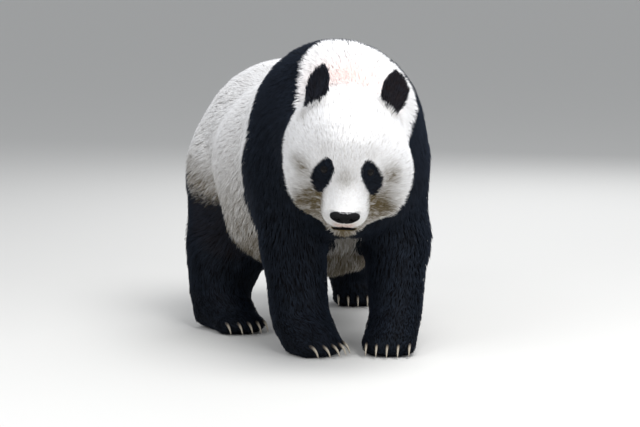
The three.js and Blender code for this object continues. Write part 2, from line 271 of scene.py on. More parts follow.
# %% Floor
FLOOR_SIDE = 160.0  # so wide that its far edge stays above the camera's view
bpy.ops.object.select_all(action="DESELECT")
bpy.ops.mesh.primitive_plane_add(size=FLOOR_SIDE)
floor = bpy.context.object
floor.name = "floor"
floor_paint = new_material("matt_floor_paint", Base_Color="#d3d1cc", Roughness=0.9)  # holds no highlight
floor.data.materials.append(floor_paint[0])
print("floor:", FLOOR_SIDE, "m wide")

# %% [markdown]
# ## The skin
# Under the coat the panda is one body with no seams. The flesh nodes are copied, swollen by a hair so that
# the thin cuts between them close, and remeshed as one surface. Sculpting it from a sphere would be possible
# too, but the nodes already have the true outline. Smoothing then takes out their facets, and the surface is
# drawn in by the depth of the coat, which differs from place to place.

# %% Copy the flesh and make it one surface
CUT_CLOSER = 0.0008  # metres that each copy swells, more than half the cut
VOXEL = 0.0070
SAME_POINT = 1e-5


def merged_copy(names, title):
    """A copy of some nodes as one bare mesh, with the points that faces share merged."""
    select_only([nodes[name] for name in names])
    bpy.ops.object.duplicate()
    bpy.ops.object.parent_clear(type="CLEAR_KEEP_TRANSFORM")
    if len(names) > 1:
        bpy.ops.object.join()
    piece = bpy.context.object
    piece.name = piece.data.name = title
    for tag in list(piece.keys()):
        del piece[tag]
    piece.data.materials.clear()
    bpy.ops.object.mode_set(mode="EDIT")
    bpy.ops.mesh.select_all(action="SELECT")
    bpy.ops.mesh.remove_doubles(threshold=SAME_POINT)
    bpy.ops.object.mode_set(mode="OBJECT")
    return piece


flesh = [name for name in nodes if "claw" not in name and not name.endswith("_eye")]
skin = merged_copy(flesh, "skin")
finish_with(skin, "DISPLACE", strength=CUT_CLOSER, mid_level=0.0)
finish_with(skin, "REMESH", mode="VOXEL", voxel_size=VOXEL)


def keep_largest_shell(piece):
    """Deletes closed pockets that the cuts left inside."""
    shape = bmesh.new()
    shape.from_mesh(piece.data)
    unseen, shells = set(shape.verts), []
    while unseen:
        shell, edge = set(), [unseen.pop()]
        while edge:
            vertex = edge.pop()
            shell.add(vertex)
            around = {e.other_vert(vertex) for e in vertex.link_edges} & unseen
            unseen -= around
            edge.extend(around)
        shells.append(shell)
    shells.sort(key=len)
    for shell in shells[:-1]:
        bmesh.ops.delete(shape, geom=list(shell), context="VERTS")
    shape.to_mesh(piece.data)
    shape.free()
    return len(shells)


shells = keep_largest_shell(skin)
print("skin:", len(skin.data.vertices), "points, from", shells, "shells")

# %% [markdown]
# ## Regions
# What a place on the skin is like depends on the part it belongs to. The nearest node names the part, and
# each quality is then spread over its neighbours on the mesh, so that it changes gradually across a border.


# %% Find the nearest node of each point
def region_finder(names):
    corners, faces, owner = [], [], []
    for name in names:
        mesh = nodes[name].data
        start = len(corners)
        corners += [v.co[:] for v in mesh.vertices]
        faces += [[start + i for i in face.vertices] for face in mesh.polygons]
        owner += [name] * len(mesh.polygons)
    tree = BVHTree.FromPolygons(corners, faces)
    return lambda point: owner[tree.find_nearest(Vector(point))[2]]


nearest_node = region_finder(flesh)
outer = points_of(skin.data)
region = np.array([nearest_node(p) for p in outer])
pairs = read_all(skin.data.edges, "vertices", 2, np.int32)


def spread(values, rounds):
    """Each point's value becomes the mean of its own and its neighbours', several times over."""
    table = values.reshape(len(values), -1).astype(float)
    a, b = pairs.T
    count = np.bincount(a, minlength=len(table)) + np.bincount(b, minlength=len(table))
    for _ in range(rounds):
        around = [np.bincount(a, v[b], len(v)) + np.bincount(b, v[a], len(v)) for v in table.T]
        table = (table + np.stack(around, axis=1) / np.maximum(count, 1)[:, None]) / 2
    return table.reshape(values.shape)


def within(*endings):
    return np.array([any(name.endswith(e) for e in endings) for name in region])


is_face = within("head", "eye_patch", "nose")
is_ear, is_tail = within("ear"), within("tail")
is_limb = within("upper_leg", "lower_leg", "paw")
is_paw = within("paw")
print("regions:", {name: int((region == name).sum()) for name in ("head", "trunk", "shoulders", "neck")})

# %% Smooth out the facets
SMOOTHING = {"body": 56, "detail": 12}


def weigh(piece, name, weights, steps=8):
    group = piece.vertex_groups.new(name=name)
    level = np.round(weights * steps).astype(int)
    for k in range(1, steps + 1):
        group.add(np.nonzero(level == k)[0].tolist(), k / steps, "REPLACE")
    return name


bulk = np.where(is_ear, 0.0, np.where(is_paw, 0.1, np.where(is_face, 0.35, 1.0)))
group = weigh(skin, "bulk", spread(bulk, 20))
finish_with(skin, "SMOOTH", factor=0.5, iterations=SMOOTHING["detail"])
finish_with(skin, "SMOOTH", factor=0.5, iterations=SMOOTHING["body"], vertex_group=group)
skin.vertex_groups.clear()
rough, outer = outer, points_of(skin.data)
print("smoothing moved a point by up to", distance(outer, rough).max().round(4), "m")

# %% [markdown]
# ## The lie and depth of the coat
# Fur grows back from the nose over the head, back and down along the body, down the legs and forward over
# the feet. It is shortest on the muzzle and feet, long on the body and longest on the tail. These are worked
# out once for each point of the skin, and both the skin's own depth and the tufts read them.

# %% How deep and long the fur is
NOSE_TIP = np.array([0, -0.200, -0.066])
local = to_head(outer)
from_nose = distance(local, NOSE_TIP)
height = outer[:, 2]


def from_eyes(local):
    """How far each point is from the nearer eye."""
    return np.min([distance(local, (x, EYE_FRONT, EYE_UP)) for x in (EYE_SIDE, -EYE_SIDE)], axis=0)


def along_table(value, table):
    """Reads a table of (value, result) pairs, straight between them."""
    return np.interp(value, *zip(*table))


def ear_foot(side):
    """Where an ear's hairs spread from, in the head's frame."""
    return to_head(middle(f"{side}_ear")) * (0.72, 1, 0.55)


FROM_NOSE = (0.00, 0.04, 0.07, 0.12, 0.17, 0.24, 0.30)
FACE_DEPTH = tuple(zip(FROM_NOSE, (0.0015, 0.0025, 0.004, 0.0055, 0.007, 0.009, 0.011)))
FACE_LENGTH = tuple(zip(FROM_NOSE, (0.005, 0.006, 0.009, 0.012, 0.016, 0.021, 0.026)))
ABOVE_FLOOR = (0.0, 0.03, 0.08, 0.16, 0.30, 0.45)
LIMB_DEPTH = tuple(zip(ABOVE_FLOOR, (0.001, 0.003, 0.006, 0.008, 0.010, 0.013)))
LIMB_LENGTH = tuple(zip(ABOVE_FLOOR, (0.010, 0.014, 0.018, 0.026, 0.034, 0.038)))
BODY_LENGTH = ((0.22, 0.040), (0.40, 0.034), (0.60, 0.030))
BODY_DEPTH = 0.014

jowl = fade(np.abs(local[:, 0]), 0.06, 0.10) * (1 - fade(local[:, 2], -0.10, -0.02)) * is_face
chin = (local[:, 2] < -0.118) * (np.abs(local[:, 0]) < 0.05) * is_face
near_eye = 0.35 + 0.65 * fade(from_eyes(local), 0.014, 0.05)
depth = np.where(is_limb, along_table(height, LIMB_DEPTH), BODY_DEPTH)
depth = np.where(is_face, along_table(from_nose, FACE_DEPTH) + 0.008 * jowl, depth)
length = np.where(is_limb, along_table(height, LIMB_LENGTH), along_table(height, BODY_LENGTH))
length = np.where(is_face, along_table(from_nose, FACE_LENGTH) * (1 + 0.5 * jowl + 0.7 * chin), length)
depth, length = spread(depth, 12), spread(length, 12)
depth = np.where(is_ear, 0.0045, np.where(is_tail, 0.018, depth))
length = np.where(is_ear, 0.013, np.where(is_tail, 0.045, length))
EAR_TASSELS = {"left": (0.83, 0, -0.55), "right": (-0.70, 0, 0.70)}  # where an ear's rim is shaggiest
for side, tassel in EAR_TASSELS.items():
    shaggy = np.clip(unit(local - ear_foot(side)) @ np.array(tassel), 0, 1) ** 3
    length *= 1 + 0.9 * shaggy * (region == f"{side}_ear")
depth, length = spread(depth, 3), spread(length, 3)
depth *= np.where(is_face, near_eye, 1)
length *= np.where(is_face, 0.5 + 0.5 * near_eye, 1)
print("coat depth", depth.min().round(4), "to", depth.max().round(4), "m")

# %% Which way it lies
normal = points_of(skin.data, "normal")
flank = np.abs(normal[:, 0])
lie = np.stack([0 * flank, 1 - 0.2 * flank, -0.25 - 0.75 * flank], axis=1)
lie[within("shoulders") & (normal[:, 1] < -0.2)] = (0, 0.2, -1)  # the chest
for leg in LEG_NAMES:
    line = [middle(f"{leg}_{part}") for part in ("upper_leg", "lower_leg", "paw")]
    lie[region == f"{leg}_upper_leg"] = unit(line[1] - line[0]) + (0, 0.25, 0)
    lie[region == f"{leg}_lower_leg"] = unit(line[2] - line[1]) + (0, 0.15, 0)
    lie[region == f"{leg}_paw"] = paw_forward[leg] + (0, 0, -0.35)
lie[is_face] = unit(outer - from_head(NOSE_TIP + (0, 0, -0.01)))[is_face]
lie[is_face, 2] -= 0.35 * fade(np.abs(local[is_face, 0]), 0.06, 0.15)
for side in ("left", "right"):
    ear = region == f"{side}_ear"
    lie[ear] = unit(outer[ear] - from_head(ear_foot(side)))
lie[is_tail] = (0, 0.15, -1)
lie = along_surface(spread(lie, 10), normal)
print("on the trunk the fur points to", lie[region == "trunk"].mean(0).round(2))

# %% [markdown]
# ## Markings
# Legs, shoulders, ears and eye patches are black, the rest is white. The white isn't clean: cheeks, chin,
# belly and flanks are stained yellow-brown, and the skin of the nape shows pink. The stain field also carries
# painted shade: under the jaw and chin, in the creases by the muzzle and eyes, along the brows, at the feet of
# the ears, low on the body and in the fold in front of a thigh. Each marking is a number from 0 to 1 at every
# point of the skin, and the skin and the tufts both read it.

# %% Black and white
PATCH_MIDDLE = (0.063, 0.002)  # of an eye patch: sideways and up, in the head's frame
PATCH_OUTLINE = ((51, 47), (70, 29), (90, -4), (86, -26), (76, -41), (62, -41))
PATCH_OUTLINE += ((53, -19), (39, 8), (37, 25), (42, 38))

corners = np.array(PATCH_OUTLINE + PATCH_OUTLINE[:1]) / 1000 - PATCH_MIDDLE
stops = np.linspace(0, len(PATCH_OUTLINE), 241)[:-1]
outline = np.stack([np.interp(stops, range(len(corners)), corners[:, axis]) for axis in range(2)], axis=1)
for _ in range(60):  # rounds the corners off
    outline = (np.roll(outline, 1, axis=0) + 2 * outline + np.roll(outline, -1, axis=0)) / 4
outline_turns = np.arctan2(outline[:, 1], outline[:, 0])
outline_reach = 1.10 * np.hypot(*outline.T)


def patch_reach(local):
    """How far a point is from the middle of the nearer eye patch: 1 at the patch's edge."""
    across, up = np.abs(local[:, 0]) - PATCH_MIDDLE[0], local[:, 2] - PATCH_MIDDLE[1]
    edge = np.interp(np.arctan2(up, across), outline_turns, outline_reach, period=2 * math.pi)
    return np.where(local[:, 1] < -0.05, np.hypot(across, up) / edge, 9.0)


# The edge of a hind leg's black on the side: its front by height, and its top by how far back it is.
THIGH_FRONT = ((0.16, 0.094), (0.20, 0.098), (0.23, 0.102), (0.27, 0.102), (0.36, 0.113))
THIGH_TOP = ((0.10, 0.345), (0.135, 0.352), (0.20, 0.356), (0.30, 0.362), (0.60, 0.400))
LEFT_LEG_BACK = 0.19  # how much further back the left hind leg stands
BELLY_FUR_HANGS_TO = 0.158  # above the floor, in front of the thighs


def from_hip(points):
    """How far back each point is, counted on its own side from the same place on the hind leg."""
    return points[:, 1] - np.where(points[:, 0] < 0, 0, LEFT_LEG_BACK)


def thigh_black(points):
    """Black behind and below the thigh's edge. The top is soft, where hairs mingle, and the belly white."""
    back = from_hip(points)
    front = fade((back - along_table(points[:, 2], THIGH_FRONT)) / 0.010, -1, 1)
    softness = along_table(back, ((0.11, 0.018), (0.16, 0.040), (0.30, 0.055)))
    buttock = fade(back, 0.25, 0.45) * np.clip(0.20 - np.abs(points[:, 0]), 0, 1)  # the edge falls inwards
    top = fade((along_table(back, THIGH_TOP) - 1.3 * buttock - points[:, 2]) / softness, -1, 1)
    return front * top * fade(np.abs(points[:, 0]), 0.06, 0.10)


ELBOW_EDGE = ((0.39, -0.070), (0.56, -0.144))  # how far back the black behind the elbow reaches, by height


def elbow_black(points):
    """Black between the band and the back of a front leg."""
    behind = fade((along_table(points[:, 2], ELBOW_EDGE) - points[:, 1]) / 0.010, -1, 1)
    behind *= fade(points[:, 2], 0.34, 0.37) * (1 - fade(points[:, 2], 0.52, 0.56))
    return behind * fade(np.abs(points[:, 0]), 0.08, 0.12) * (points[:, 1] > -0.25)


black = within("shoulders", "leg", "paw").astype(float)
belly_fur = np.char.startswith(region, "hind") & (from_hip(outer) < along_table(height, THIGH_FRONT))
black[belly_fur & (height > BELLY_FUR_HANGS_TO)] = 0
by_nape = spread(within("neck").astype(float), 24) > 0.30
black[by_nape & within("shoulders") & (outer[:, 0] < -0.02)] = 0  # white reaches over the right shoulder
black = spread(black, 5)
black = np.maximum(black, spread(is_ear.astype(float), 3))
black = np.maximum(black, elbow_black(outer))
black = np.where(is_face, np.where(local[:, 1] < 0.05, 0, black), np.maximum(black, thigh_black(outer)))
black = np.maximum(black, np.where(is_face, 1 - fade(patch_reach(local), 0.9, 1.1), 0))
border = spread(4 * black * (1 - black), 10)  # 1 between black and white, where tufts are short and thin
length = length * (1 - 0.68 * border)
print("black share of the skin:", round(float((black > 0.5).mean()), 2))


# %% Stains, painted shade and blush
def blot(place, radius, strength):
    """A soft round mark about a place in the panda's frame."""
    return strength * np.exp(-((distance(outer, place) / radius) ** 2))


# Yellow-brown stains on the face, with painted shade in its creases and undersides: beside the muzzle, under
# the jaw and chin, beside the eyes, along the brows and at the feet of the ears.
HEAD_STAINS_AND_SHADE = (  # place in the head's frame, radius and strength
    ((0.078, -0.128, -0.060), 0.033, 0.98),  # cheeks, right beside the muzzle: stain, and painted shade in the crease there
    ((-0.076, -0.128, -0.062), 0.034, 1.15),
    ((0.092, -0.112, -0.104), 0.046, 1.12),  # and the jowls below: stain and painted shade
    ((-0.092, -0.112, -0.106), 0.048, 1.32),
    ((-0.104, -0.083, -0.145), 0.034, 1.10),  # painted shade under the jaw
    ((0.096, -0.110, -0.120), 0.030, 0.70),
    ((-0.136, -0.050, 0.000), 0.018, 0.45),  # painted shade in the folds beside the eyes
    ((-0.122, -0.078, 0.004), 0.024, 0.52),
    ((-0.106, -0.088, -0.010), 0.021, 0.50),
    ((0.112, -0.090, -0.008), 0.028, 0.85),
    ((0.000, -0.172, -0.138), 0.032, 2.10),  # chin: ochre stain, and painted shade under it
    ((0.000, -0.150, -0.150), 0.045, 1.00),
    ((0.000, -0.206, -0.050), 0.013, 0.45),  # thin hair over the nose
    ((0.042, -0.158, -0.124), 0.018, 0.80),  # corners of the lower lip
    ((-0.042, -0.158, -0.124), 0.018, 0.80),
    ((-0.004, -0.137, 0.008), 0.023, 0.56),  # bridge of the nose
    ((0.060, -0.098, 0.062), 0.016, 0.14),  # painted shade along the brows
    ((-0.060, -0.098, 0.062), 0.016, 0.14),
    ((0.132, 0.112, 0.022), 0.024, 0.50),  # painted shade at the feet of the ears
    ((-0.114, 0.046, 0.070), 0.022, 0.50),
)
# One field holds the face's stains and its painted shade.
stain_and_shade = sum(blot(from_head(place), radius, strength) for place, radius, strength in HEAD_STAINS_AND_SHADE)
beside_muzzle = np.maximum(fade(np.abs(local[:, 0]), 0.050, 0.062), local[:, 2] < -0.111)
stain_and_shade *= np.where(local[:, 2] < -0.03, beside_muzzle, 1)  # the muzzle itself is clean
# Painted shade: darker towards the bottom of the body and most of all under the belly, on a faint even tint.
dust_and_shade = 0.78 * (1 - fade(height, 0.18, 0.58)) + 0.30 * (1 - fade(height, 0.18, 0.26)) + 0.04
# Painted shade along the fold between the right flank and thigh.
for place in ((-0.270, 0.215, 0.470), (-0.270, 0.190, 0.425)):
    dust_and_shade += blot(place, 0.036, 0.36)
back = from_hip(outer)
# Greyer just above the top of a thigh's black, fading out upwards.
smoky = 1 - fade(height - along_table(back, THIGH_TOP), 0.0, 0.15)
dust_and_shade = np.maximum(dust_and_shade, 0.86 * smoky * fade(back, 0.05, 0.13) * fade(np.abs(outer[:, 0]), 0.10, 0.20))
# On trunk, neck and tail the field also takes the painted shade low down and by the thighs.
stain_and_shade = np.where(is_face, stain_and_shade, np.where(within("trunk", "neck", "tail"), np.maximum(stain_and_shade, dust_and_shade), 0))
stain_and_shade = np.where(region == "left_ear", 0.22, np.where(region == "right_ear", 0.12, stain_and_shade))
stain_and_shade = spread(np.clip(stain_and_shade, 0, 1), 4)
blush = blot((-0.022, -0.405, 0.735), 0.092, 0.7)
for side in (1, -1):  # the upper lip
    blush += blot(from_head((0.013 * side, -0.190, -0.099)), 0.013, 0.7)
    stain_and_shade += blot(from_head((0.013 * side, -0.190, -0.100)), 0.013, 0.40)
blush = spread(np.clip(blush, 0, 1), 2)
print("stained share of the skin:", round(float((stain_and_shade > 0.3).mean()), 2))

# %% [markdown]
# ## Drawing the skin in, and the face
# The skin is drawn in by the depth of the coat. The muzzle and the places round the eyes are divided more
# finely, because they show most. Then the mouth's line, the bed of the nose, the folds between flank and
# thigh and the creases beside the muzzle are pressed in. The eyes' hollows are already in the nodes.

# %% Draw in by the coat's depth
qualities = {"black": black, "border": border, "stain_and_shade": stain_and_shade, "blush": blush}
qualities |= {"depth": depth, "length": length}
for name, values in qualities.items():
    write_field(skin.data, name, values)
write_field(skin.data, "lie", lie, "FLOAT_VECTOR")
PART_CODES = {"head": 0, "body": 1, "front_leg": 2, "hind_leg": 3, "trunk": 4}
code = np.full(len(outer), PART_CODES["trunk"])
code[within("shoulders", "neck")] = PART_CODES["body"]
code[is_face | is_ear] = PART_CODES["head"]
code[is_limb & np.char.startswith(region, "front")] = PART_CODES["front_leg"]
code[is_limb & np.char.startswith(region, "hind")] = PART_CODES["hind_leg"]
write_field(skin.data, "part", code, "INT")

inner = outer - spread(normal, 4) * depth[:, None]
inner[:, 2] = np.maximum(inner[:, 2], 0.0)
move_points(skin.data, inner)
finish_with(skin, "SMOOTH", factor=0.5, iterations=4)
print("drawn in, the skin is", np.ptp(inner, axis=0).round(3), "m in size")

# %% Divide the muzzle and eyes more finely
MUZZLE_REACH, EYE_REACH = 0.105, 0.032
mesh = skin.data
local = to_head(points_of(mesh))
fine = (distance(local, NOSE_TIP) < MUZZLE_REACH) | (from_eyes(local) < EYE_REACH)
select_only([skin])
mesh.vertices.foreach_set("select", np.zeros(len(mesh.vertices), bool))
mesh.edges.foreach_set("select", np.zeros(len(mesh.edges), bool))
chosen = [all(fine[i] for i in face.vertices) for face in mesh.polygons]
mesh.polygons.foreach_set("select", np.array(chosen))
bpy.ops.object.mode_set(mode="EDIT")
bpy.ops.mesh.select_mode(type="FACE")
bpy.ops.mesh.subdivide(number_cuts=2, smoothness=0.0)
bpy.ops.object.mode_set(mode="OBJECT")
print("skin after dividing:", len(mesh.vertices), "points")

# %% Press in the mouth and the bed of the nose
LIPS_FRONT = (-0.190, -0.108)  # the lips' line on the middle of the muzzle: back and up
MOUTH_CORNER = 0.034
LIP_DEPTH, LIP_WIDTH = 0.0095, 0.0044
CLEFT_DEPTH, CLEFT_WIDTH = 0.0018, 0.0022  # from the nose down to the lips
NOSE_BED = {"up": -0.0680, "half_width": 0.034, "half_height": 0.0135, "depth": 0.006}


def mouth_gap(local):
    """Height above the line of the lips, which falls towards the corners of the mouth."""
    line = LIPS_FRONT[1] - 0.35 * (local[:, 1] - LIPS_FRONT[0]) - 8 * local[:, 0] ** 2
    return local[:, 2] - line


def on_mouth(local):
    """1 where the mouth opens, fading out at its corners."""
    to_corner = fade(np.abs(local[:, 0]), MOUTH_CORNER - 0.010, MOUTH_CORNER)
    return fade(-local[:, 1], 0.10, 0.13) * (1 - to_corner)


def nose_reach(local):
    """How far a point is from the middle of the nose pad: 1 at its edge."""
    across = local[:, 0] / NOSE_BED["half_width"]
    up = (local[:, 2] - NOSE_BED["up"] - 0.003 * across**2) / NOSE_BED["half_height"]
    return np.where(local[:, 1] < -0.16, np.hypot(across, up), 9.0)


place = points_of(mesh)
local = to_head(place)
outward = points_of(mesh, "normal")
gap, mouth = mouth_gap(local), on_mouth(local)
lips = np.exp(-((gap / LIP_WIDTH) ** 2)) * mouth
cleft = np.exp(-((local[:, 0] / CLEFT_WIDTH) ** 2)) * fade(gap, 0.0, 0.003) * (local[:, 2] < -0.084)
cleft *= (local[:, 1] < -0.13) * (gap < 0.04)
bed = 1 - fade(nose_reach(local), 0.7, 1.1)
place -= outward * (LIP_DEPTH * lips + CLEFT_DEPTH * cleft + NOSE_BED["depth"] * bed)[:, None]
bare_lips = fade(gap, -0.0115, -0.0085) * (1 - fade(gap, 0.002, 0.0045)) * mouth
write_field(mesh, "bare", np.clip(1.3 * bare_lips + 0.25 * cleft + 1.5 * bed, 0, 1))
print("lips and bed of the nose:", int((bare_lips + bed > 0.5).sum()), "points")
upper_lip = fade(gap, 0.002, 0.006) * (1 - fade(gap, 0.014, 0.022))
write_field(mesh, "lip", upper_lip * mouth * (1 - fade(np.abs(local[:, 0]), 0.018, 0.030)))

# %% Press in the folds between flank and thigh
FLANK_FOLD = ((-0.260, 0.354, 0.538), (-0.264, 0.277, 0.488), (-0.270, 0.201, 0.453), (-0.271, 0.152, 0.416))
FLANK_FOLD += ((-0.266, 0.117, 0.364), (-0.245, 0.114, 0.291), (-0.207, 0.121, 0.234))
FOLD_DEPTH, FOLD_WIDTH = 0.010, 0.026
LEFT_FOLD_BACK = 0.12  # how much further back the left side's fold is
FOLD_STOPS, END_STOPS = 60, 6  # steps along a fold, and those past its ends where it would reach zero


def press_in(line, deep, width, reach):
    """Presses a fold along a line into the skin near it. The fold fades out at the line's ends."""
    line = np.array(line)
    close = distance(place, line.mean(0)) < reach
    shares = np.linspace(0, len(line) - 1, FOLD_STOPS)
    stops = np.stack([np.interp(shares, range(len(line)), line[:, axis]) for axis in range(3)], axis=1)
    away = np.linalg.norm(place[close, None] - stops[None], axis=2)
    along_fold = (away.argmin(1) + END_STOPS) / (FOLD_STOPS - 1 + 2 * END_STOPS)
    strength = np.sin(np.pi * np.clip(along_fold, 0, 1)) ** 0.6
    place[close] -= outward[close] * (deep * strength * np.exp(-((away.min(1) / width) ** 2)))[:, None]
    print("a fold is pressed into", int(close.sum()), "points")


mirrored = [(-x, y + LEFT_FOLD_BACK, z) for x, y, z in FLANK_FOLD]
for line in (FLANK_FOLD, mirrored):
    press_in(line, FOLD_DEPTH, FOLD_WIDTH, 0.35)

# %% Press in the crease beside the muzzle
MUZZLE_CREASE = ((0.056, -0.128, -0.028), (0.067, -0.134, -0.052))
MUZZLE_CREASE += ((0.066, -0.142, -0.082), (0.056, -0.150, -0.110))
CREASE_DEPTH, CREASE_WIDTH = 0.0075, 0.011

for side in (1, -1):
    press_in(from_head(np.array(MUZZLE_CREASE) * (side, 1, 1)), CREASE_DEPTH, CREASE_WIDTH, 0.12)
move_points(mesh, place)

# %% [markdown]
# ## The skin's material and its unwrap
# A panda's skin is pinkish-grey under the white fur and dark under the black. Fine creases and stubble are
# bump. The unwrap is by the skin's own faces, and each tuft later takes its place on it from its root.


# %% Skin material
SPECKLE_MM, STUBBLE_MM = 3.85, 2.4  # real ones are finer: they are as coarse as they need to be to show


def painted(tree, ground, *layers):
    """Colours over one another. The share of each is an output, or a field of the mesh by name."""
    for share, colour in layers:
        if isinstance(share, str):
            share = add_node(tree, "ShaderNodeAttribute", {"attribute_name": share}).outputs["Fac"]
        mix = add_node(tree, "ShaderNodeMix", {"data_type": "RGBA"}, _0=share, _6=ground, _7=colour)
        ground = mix.outputs[2]
    return ground


# Haired skin is soft and dry: it scatters light and hardly shines.
skin_leather, tree, surface, where = new_material("haired_skin", Roughness=0.8, Specular_IOR_Level=0.06)
speckle = add_node(tree, "ShaderNodeTexNoise", Vector=where, Scale=1000 / SPECKLE_MM, Detail=3.0).outputs[0]
# The stain colour also paints shade, wherever the field holds painted shade.
pale = painted(tree, "#e9e6e1", (speckle, "#f6f4f1"), ("stain_and_shade", "#675838"))
pale = painted(tree, pale, ("blush", "#eec3b2"), ("lip", "#8d6c5c"))
dark = painted(tree, "#060607", (speckle, "#111216"))
colour = painted(tree, pale, ("black", dark), ("bare", "#070606"))
stubble = add_node(tree, "ShaderNodeTexNoise", Vector=where, Scale=1000 / STUBBLE_MM, Detail=2.0).outputs[0]
bump = add_node(tree, "ShaderNodeBump", Height=stubble, Strength=0.5, Distance=0.001)
set_inputs(surface, Base_Color=colour, Normal=bump.outputs["Normal"])
mesh.materials.append(skin_leather)
print("on the skin:", skin_leather.name)

# %% Unwrap the skin
select_only([skin])
bpy.ops.object.mode_set(mode="EDIT")
bpy.ops.mesh.select_all(action="SELECT")
bpy.ops.uv.smart_project(angle_limit=math.radians(66), island_margin=0.002)
bpy.ops.object.mode_set(mode="OBJECT")
mesh.uv_layers[0].name = "OFBake"
bpy.ops.object.shade_smooth()
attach(skin, "root")
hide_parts(*[name for name in flesh if name != "nose"])
print("skin triangles:", sum(len(face.vertices) - 2 for face in mesh.polygons))

# %% [markdown]
# ## Eyes
# A panda's eye is small and dark brown, with an upright slit of a pupil. The ball is a sphere whose pole
# looks along the gaze, with the clear front of the eye swelling a little, and the lids are a thin leather
# shell over it with an almond opening. Cutting the lids into the skin would need a much finer skin.

# %% Eyeballs
EYE_RADIUS = 0.0115
CORNEA = {"swell": 0.07, "edge": 42}  # the edge in degrees off the gaze
PUPIL = (0.0016, 0.0042)  # half its width and height
GAZE = {"left": (0.34, -1.0, 0.06), "right": (-0.34, -1.0, 0.06)}

# A wet cornea is smooth and clear: one small sharp highlight on an almost black ball.
eye_gloss, tree, surface, _ = new_material("wet_cornea", Roughness=0.08, IOR=1.34, Specular_IOR_Level=0.32)
set_inputs(surface, Base_Color=painted(tree, "#040404", ("iris", "#070505"), ("pupil", "#020202")))


def eye_axes(side):
    forward = unit(np.array(GAZE[side]))
    across = unit(np.cross((0, 0, 1), -forward))
    return head_axes @ np.stack([across, np.cross(-forward, across), forward], axis=1)


def new_sphere(title, segments, rings, radius=1):
    bpy.ops.object.select_all(action="DESELECT")
    bpy.ops.mesh.primitive_uv_sphere_add(segments=segments, ring_count=rings, radius=radius)
    ball = bpy.context.object
    ball.name = ball.data.name = title
    return ball


def add_eyeball(side):
    ball = new_sphere(f"{side}_eyeball", 40, 28, EYE_RADIUS)
    shape = points_of(ball.data)
    off_axis = np.degrees(np.arccos(np.clip(shape[:, 2] / EYE_RADIUS, -1, 1)))
    shape *= (1 + CORNEA["swell"] * np.clip(1 - (off_axis / CORNEA["edge"]) ** 2, 0, 1))[:, None]
    write_field(ball.data, "iris", (1 - fade(off_axis, 38, 44)) * (0.35 + 0.65 * fade(off_axis, 6, 30)))
    pupil = 1 - fade(np.hypot(shape[:, 0] / PUPIL[0], shape[:, 1] / PUPIL[1]), 0.85, 1.1)
    write_field(ball.data, "pupil", pupil * (shape[:, 2] > 0))
    move_points(ball.data, shape @ eye_axes(side).T + eyes[side])
    ball.data.materials.append(eye_gloss)
    bpy.ops.object.shade_smooth()
    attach(ball, "root")
    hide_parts(f"{side}_eye")


for side in eyes:
    add_eyeball(side)
print("eyeballs:", len(eyes), "of", 2 * EYE_RADIUS, "m")

# %% Lids
LID_GAP, LID_THICKNESS, LID_SWELL = 0.0006, 0.0016, 0.0010
LID_EDGE = 105  # degrees off the gaze, behind the ball's widest ring
OPENING = {"half_width": 42, "upper": 24, "lower": 22}  # degrees off the gaze

LID_GRAIN_MM = 1.1

# Bare lids are dull black leather: only a faint broad shine along their edges.
lid_leather, tree, surface, where = new_material("black_lid_leather", Roughness=0.65, Specular_IOR_Level=0.12)
grain = add_node(tree, "ShaderNodeTexNoise", Vector=where, Scale=1000 / LID_GRAIN_MM, Detail=2.0).outputs[0]
set_inputs(surface, Base_Color=painted(tree, "#030304", (grain, "#09090b")))


def add_lids(side):
    lids = new_sphere(f"{side}_eyelids", 40, 20)
    shape = points_of(lids.data)
    ring = np.arccos(np.clip(shape[:, 2], -1, 1)) / math.pi
    around = np.arctan2(shape[:, 1], shape[:, 0])
    slit = np.where(np.sin(around) > 0, OPENING["upper"], OPENING["lower"])
    edge = 1 / np.hypot(np.cos(around) / OPENING["half_width"], np.sin(around) / slit)
    off_axis = np.radians(edge + (LID_EDGE - edge) * np.clip((ring - 0.05) / 0.95, 0, 1))
    radius = EYE_RADIUS + LID_GAP + LID_SWELL * np.exp(-((ring - 0.30) ** 2) / 0.02)
    across = np.sin(off_axis)
    shell = np.stack([across * np.cos(around), across * np.sin(around), np.cos(off_axis)], axis=1)
    shell *= radius[:, None]
    select_only([lids])
    move_points(lids.data, shell @ eye_axes(side).T + eyes[side])
    bpy.ops.object.mode_set(mode="EDIT")
    bpy.ops.mesh.select_mode(type="VERT")
    bpy.ops.mesh.select_all(action="DESELECT")
    bpy.ops.object.mode_set(mode="OBJECT")
    lids.data.vertices.foreach_set("select", (ring < 0.01) | (ring > 0.99))
    bpy.ops.object.mode_set(mode="EDIT")
    bpy.ops.mesh.delete(type="VERT")
    bpy.ops.object.mode_set(mode="OBJECT")
    finish_with(lids, "SOLIDIFY", thickness=LID_THICKNESS, offset=1.0)
    finish_with(lids, "SUBSURF", levels=1, render_levels=1)
    lids.data.materials.append(lid_leather)
    bpy.ops.object.shade_smooth()
    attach(lids, "root")


for side in eyes:
    add_lids(side)
print("lids open by", OPENING["upper"] + OPENING["lower"], "degrees")

# %% [markdown]
# ## Nose
# The bare end of the muzzle is a pad of moist black leather, pebbled like a dog's, wide at the top and
# narrowing to the lip, with a nostril on each side that opens outwards. A fine sphere is pressed into that
# shape. It stays apart from the skin, because a real nose also ends in an edge where the fur begins.

# %% Nose pad
NOSE_CENTRE = np.array([0, -0.1945, -0.0680])
NOSE_HALF = np.array([0.0370, 0.0145, 0.0168])
NOSTRIL = {"side": 0.0150, "up": -0.0010, "radius": 0.0054, "depth": 0.0095}

PEBBLE_MM = 1.6

